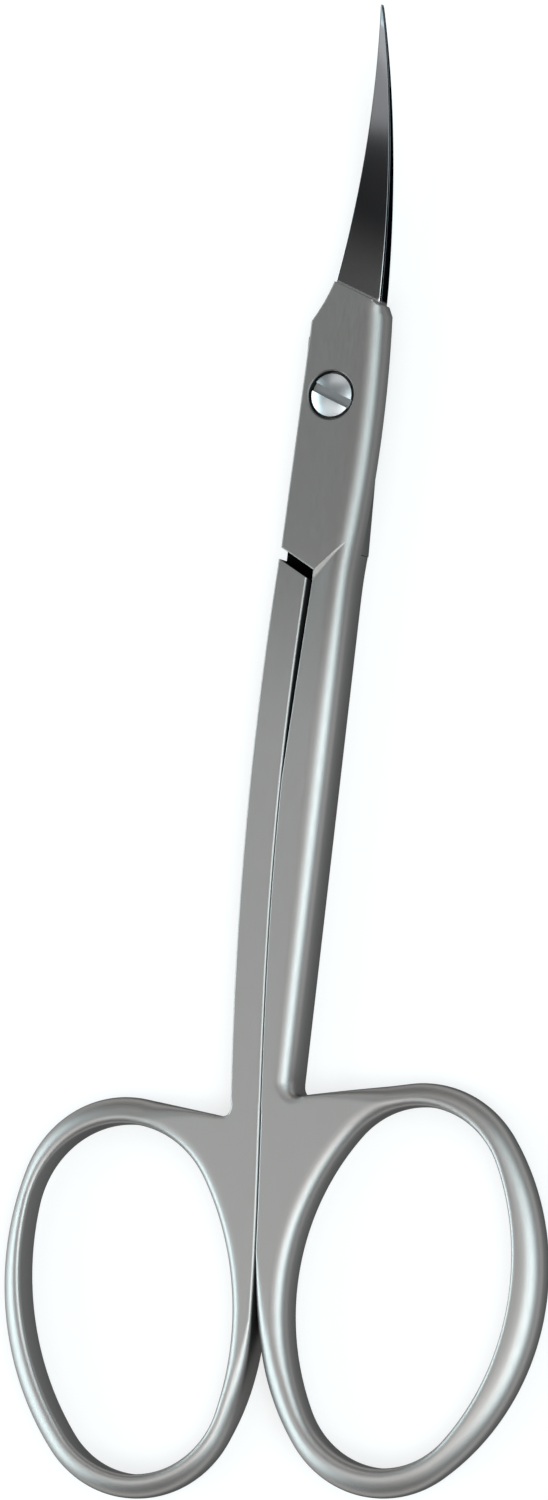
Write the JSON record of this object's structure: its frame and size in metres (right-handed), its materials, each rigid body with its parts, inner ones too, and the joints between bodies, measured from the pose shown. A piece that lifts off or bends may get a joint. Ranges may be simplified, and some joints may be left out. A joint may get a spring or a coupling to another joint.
{
  "type": "cuticle scissors",
  "caption": "Steel cuticle scissors with lapped halves on a slotted pivot screw, oval finger rings and slim blades that curve upwards.",
  "frame": {"origin": "on the pivot screw's axis, in the plane of the rear half's flat back", "axes": "+Y from the finger rings towards the blade tips, +Z from the rear half towards the front half, the way the blades curve, +X towards the front half's finger ring"},
  "size_m": [0.0391, 0.1008, 0.0054],
  "materials": {
    "satin_steel": "satin stainless steel with polished blades",
    "screw_steel": "turned stainless steel, lightly polished"
  },
  "bodies": {
    "rear_half": {"rear_half": "satin_steel"},
    "front_half": {"front_half": "satin_steel"},
    "pivot_screw": {"pivot_screw": "screw_steel"}
  },
  "joints": [
    {"name": "blade_pivot", "type": "hinge", "parent": "rear_half", "child": "front_half", "pos_m": [0, 0, 0.0014], "axis": [0, 0, 1], "range_deg": [0, 120]},
    {"name": "tension_screw", "type": "hinge", "parent": "rear_half", "child": "pivot_screw", "pos_m": [0, 0, 0.0014], "axis": [0, 0, 1], "range_deg": [-45, 90]}
  ]
}
